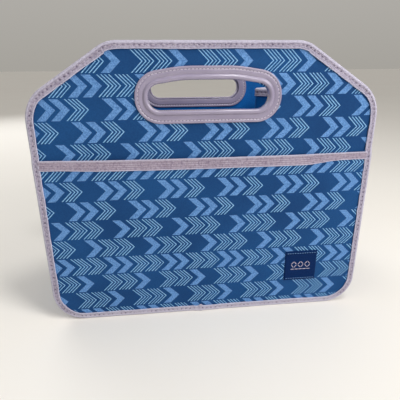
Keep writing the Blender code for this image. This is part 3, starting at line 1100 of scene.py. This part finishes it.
def make_gusset(name):
    side = SIGNS[name]
    fold = Fold("gusset")
    bodies = (f"{name}_gusset_back", f"{name}_gusset_front")
    layers = {"outer_fabric": "printed_fabric", "lining": "lining_fabric"}
    skins = folding_skins(f"{name}_gusset", layers, fold, gusset_grid,
                          lambda points: gusset_place(side, points), bodies)
    band = gusset_tape(f"{name}_gusset_top_band", fold, side, GUSSET_TAPE_WIDTH, -1.0, "tape")
    dress(band, "binding_tape", [f"{body}_top_tape" for body in bodies])
    hem = gusset_tape(f"{name}_gusset_foot_hem", fold, side, GUSSET_HEM_WIDTH, 1.0, "print")
    dress(hem, "lining_fabric")
    for edge in (band, hem):
        bend_over_crease(edge)
    for end, body in ((1.0, bodies[0]), (-1.0, bodies[1])):
        start = Vector((side * GUSSET_HINGE_X, end * HINGE_Y, foot_height(0.0)))
        top = Vector((start.x, start.y, GUSSET_TOP - HINGE_ROLL_RADIUS))
        hinge_roll(body, start, top)


def gusset_tape(name, fold, side, width, down, uv_name):
    """A tape folded over a gusset's upper edge (down is -1) or its lower edge (down is +1)."""
    middle = fold.thickness / 2
    path = fold.profile(middle, GUSSET_TAPE_START, GUSSET_TAPE_RADIUS)
    even = even_distances(path, GUSSET_TAPE_STEP)
    distances = np.unique(np.concatenate([even, fold_shares() * path.length]))
    line = path.at(distances)
    edge = np.full(len(line), GUSSET_TOP) if down < 0 else foot_height(line[:, 0]) - 0.001
    widths = width * (1.0 + 0.03 * field(line, 0.02, seed=41.0))
    pitch = whole_pitch(path.length, STITCH_PITCH)
    half = np.full(len(line), middle)
    rows, across = tape_rows(widths, -half, half, pitch, GUSSET_WRINKLE, distances, line)
    centres = gusset_place(side, lift(line, edge))
    out = lift(path.left(distances)) * (-side, 1.0, 1.0)
    return sweep(name, centres, (0.0, 0.0, down), out, rows, distances / pitch, across, False, uv_name)


def hinge_roll(body, start, end):
    """The rolled seam on a half panel's hinge line, a slightly uneven rod with rounded ends."""
    axis = (end - start).normalized()
    across = axis.orthogonal().normalized()
    beside = axis.cross(across)
    length = (end - start).length
    count = round(length / ROLL_STEP)
    distances = np.linspace(0.0, length, count)
    centres = np.array(start)[None] + distances[:, None] * np.array(axis)[None]
    ends = np.sqrt(np.clip(np.minimum(distances, length - distances) / HINGE_ROLL_RADIUS + 0.1, 0.0, 1.0))
    radii = HINGE_ROLL_RADIUS * ends * (1.0 + 0.06 * field(centres, 0.008, seed=51.0))
    turns = 2 * math.pi * np.arange(ROLL_SIDES + 1) / ROLL_SIDES
    circle = together(np.cos(turns[:-1]), np.sin(turns[:-1]))
    roll = sweep(f"{body}_hinge_roll", centres, across, beside, radii[:, None, None] * circle[None],
                 distances / ROW_HEIGHT, turns * HINGE_ROLL_RADIUS / ROW_HEIGHT, False, "print")
    dress(roll, "lining_fabric")
    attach(roll, body)


def base_grid(fold, depth, radius):
    """A base layer's surface, widened past the boards to meet the gussets."""
    path, distances, line = fold.layer(depth, radius)
    half = np.minimum(GUSSET_HINGE_X - line[:, 0] - BASE_END_CLEARANCE,
                      wall_half_width(BASE_HINGE_Z + line[:, 0], 0.001))
    x = half[:, None] * np.linspace(-1.0, 1.0, SHEET_COLUMNS)[None]
    flat = together(line[:, None, 0], line[:, None, 1], x)
    board_half = GUSSET_HINGE_X - np.minimum(distances, path.length - distances) - BOARD_END_GAP
    loose = smoothstep(0.0, 0.012, np.abs(x) - board_half[:, None])
    flat[..., 0] += loose * 0.0012 * field(flat, 0.03, seed=61.0 + depth)
    return flat, together(x, distances[:, None]) / ROW_HEIGHT


def make_base():
    fold = Fold("base")
    bodies = ("base_back", "base_front")
    layers = {"under_fabric": "lining_fabric", "lining": "lining_fabric"}
    for skin in folding_skins("base", layers, fold, base_grid, base_place, bodies):
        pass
    for end, body in ((1.0, bodies[0]), (-1.0, bodies[1])):
        start = Vector((-BASE_ROLL_HALF, end * HINGE_Y, BASE_HINGE_Z))
        hinge_roll(body, start, Vector((-start.x, start.y, start.z)))


# ---- Soft corners of the base ----

def corner_grid(side, end, below):
    """A fan of cloth round a corner's hinge line, just below the gusset's foot."""
    steps_out, steps_round = WEB_GRID
    outward = np.linspace(0.0, 1.0, steps_out)[:, None]
    near, far = WEB_START
    first = far - (far - near) * np.exp(-outward * WEB_LENGTH / WEB_START_EASE)
    angles = first + (WEB_END - first) * np.linspace(0.0, 1.0, steps_round)
    longest = np.minimum(WEB_LENGTH, (HINGE_Y - WEB_MIDDLE_GAP) / np.sin(angles))
    reach = WEB_INSET + (longest - WEB_INSET) * outward
    height = foot_height(reach * math.sin(REST_FOLD)) - below
    x = side * (GUSSET_HINGE_X - reach * np.cos(angles))
    y = end * (HINGE_Y - reach * np.sin(angles))
    return together(x, y, height), together(x, y) / ROW_HEIGHT


def make_soft_corner(name, wall):
    """Cloth that lies folded under the base."""
    side = SIGNS[name]
    end = SIGNS[wall]
    below = WEB_BELOW[wall]
    under, uv = corner_grid(side, end, below + THIN_CLOTH)
    over, _ = corner_grid(side, end, below)
    web = slab(f"base_{name}_{wall}_corner_cloth", over, under, uv)
    dress(web, "lining_fabric")
    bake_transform(web)


# ---- Stage ----

def make_floor():
    mesh = bpy.data.meshes.new("floor")
    corners = [(x * FLOOR_HALF, y * FLOOR_HALF, 0.0) for x, y in ((-1, -1), (1, -1), (1, 1), (-1, 1))]
    mesh.from_pydata(corners, [], [(0, 1, 2, 3)])
    floor = bpy.data.objects.new("floor", mesh)
    bpy.context.scene.collection.objects.link(floor)
    look = Look("pale_floor", roughness=0.8, specular=0.2)
    look.color(look.mix(look.noise(0.5), srgb(232, 228, 222), srgb(237, 234, 228)))
    mesh.materials.append(look.material)


def area_light(name, place, target, size, power, color):
    light = bpy.data.lights.new(name, "AREA")
    light.shape = "DISK"
    light.size = size
    light.energy = power
    light.color = color
    lamp = bpy.data.objects.new(name, light)
    lamp.location = place
    lamp.rotation_euler = (Vector(target) - Vector(place)).to_track_quat("-Z", "Y").to_euler()
    bpy.context.scene.collection.objects.link(lamp)


def make_world():
    """An even, pale surrounding, a little darker below the horizon."""
    world = bpy.data.worlds.new("studio")
    world.use_nodes = True
    nodes = world.node_tree.nodes
    links = world.node_tree.links
    sky = nodes["Background"]
    sky.inputs["Strength"].default_value = 0.58
    place = nodes.new("ShaderNodeTexCoord")
    height = nodes.new("ShaderNodeSeparateXYZ")
    shade = nodes.new("ShaderNodeValToRGB")
    shade.color_ramp.elements[0].color = srgb(212, 208, 200)
    shade.color_ramp.elements[1].position = 0.5
    shade.color_ramp.elements[1].color = srgb(246, 243, 238)
    links.new(place.outputs["Generated"], height.inputs[0])
    links.new(height.outputs[2], shade.inputs[0])
    links.new(shade.outputs[0], sky.inputs["Color"])
    bpy.context.scene.world = world


def make_lights():
    target = (0.0, -0.08, 0.15)
    area_light("key", (0.75, -0.80, 0.80), target, 0.55, 9.0, (1.0, 0.98, 0.96))
    area_light("top", (0.30, -0.40, 1.25), target, 0.30, 4.5, (1.0, 0.99, 0.97))
    area_light("fill", (-1.4, -0.8, 0.8), target, 1.4, 1.5, (0.96, 0.98, 1.0))
    area_light("back", (-0.9, 1.4, 1.1), (0.0, 0.08, 0.15), 1.4, 12.0, (0.98, 0.99, 1.0))


def make_camera():
    camera = bpy.data.cameras.new("camera")
    camera.sensor_width = CAMERA_SENSOR
    camera.lens = CAMERA_LENS
    eye = bpy.data.objects.new("camera", camera)
    turn = Matrix.Rotation(-CAMERA_YAW, 4, "Z") @ Matrix.Rotation(math.pi / 2 - CAMERA_PITCH, 4, "X")
    eye.matrix_world = Matrix.Translation(CAMERA_PLACE) @ turn @ Matrix.Rotation(-CAMERA_ROLL, 4, "Z")
    bpy.context.scene.collection.objects.link(eye)
    bpy.context.scene.camera = eye


# ---- Values read from the frame ----

def joint_place(name):
    return Vector(next(joint["pos_m"] for joint in frame["joints"] if joint["name"] == name))


wall_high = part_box("front_edge_binding")[1]
HALF_WALL = wall_high.x
WALL_HEIGHT = wall_high.z
LINING_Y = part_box("back_lining")[0].y
WALL_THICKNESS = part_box("back_outer_fabric")[1].y - LINING_Y
POCKET_FACE = -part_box("front_pocket_panel")[0].y - LINING_Y
POCKET_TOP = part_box("front_pocket_tape")[1].z
WALL_CLOTH_AREA = enclosed_area(wall_outline(TAPE)) - enclosed_area(hole_outline(0.0))
WALL_PLACES = {"front": frame_at((0.0, -LINING_Y, 0.0), (1.0, 0.0, 0.0), (0.0, 0.0, 1.0)),
               "back": frame_at((0.0, LINING_Y, 0.0), (-1.0, 0.0, 0.0), (0.0, 0.0, 1.0))}
gusset_hinge = joint_place("right_gusset_back_hinge")
GUSSET_HINGE_X = gusset_hinge.x
HINGE_Y = gusset_hinge.y
CREASE_X = joint_place("right_gusset_crease").x
BASE_HINGE_Z = joint_place("base_back_hinge").z
REST_FOLD = math.atan2(GUSSET_HINGE_X - CREASE_X, HINGE_Y)
HALF_PANEL = math.hypot(GUSSET_HINGE_X - CREASE_X, HINGE_Y)
GUSSET_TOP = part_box("right_gusset_back_top_tape")[1].z

materials = {
    "printed_fabric": printed_fabric(),
    "lining_fabric": lining_fabric(),
    "binding_tape": binding_tape("binding_tape", srgb(139, 134, 154), srgb(165, 160, 180), STITCH_ROW,
                                 pit_shade_depth=0.80, line_depth=0.08),
    "pocket_tape": binding_tape("pocket_tape", srgb(150, 137, 153), srgb(170, 158, 173), POCKET_STITCH_ROW,
                                pit_shade_depth=0.30, line_depth=0.55),
    "moulded_plastic": moulded_plastic(),
    "stiffener_board": stiffener_board(),
    "woven_label": woven_label(),
    "tape_thread": thread("tape_thread", srgb(168, 158, 170), srgb(196, 188, 200)),
    "plastic_thread": thread("plastic_thread", srgb(188, 180, 198), srgb(218, 212, 226)),
    "label_thread": thread("label_thread", srgb(96, 140, 190), srgb(130, 170, 212)),
    "emblem_thread": thread("emblem_thread", srgb(176, 168, 184), srgb(206, 200, 214)),
}

for side in ("front", "back"):
    make_wall_fabrics(side)
    make_edge_binding(side)
    make_handles(side)
make_pocket_panel()
make_pocket_tape()
make_label()
make_gusset("right")
make_gusset("left")
make_base()
for name, wall in (("right", "back"), ("left", "back"), ("right", "front")):
    make_soft_corner(name, wall)
for name, node in frame["nodes"].items():
    if name.endswith("_board"):
        for index in range(len(node.material_slots)):
            node.material_slots[index].material = materials["stiffener_board"]
make_floor()
make_world()
make_lights()
make_camera()
bpy.context.scene.view_settings.view_transform = "Standard"
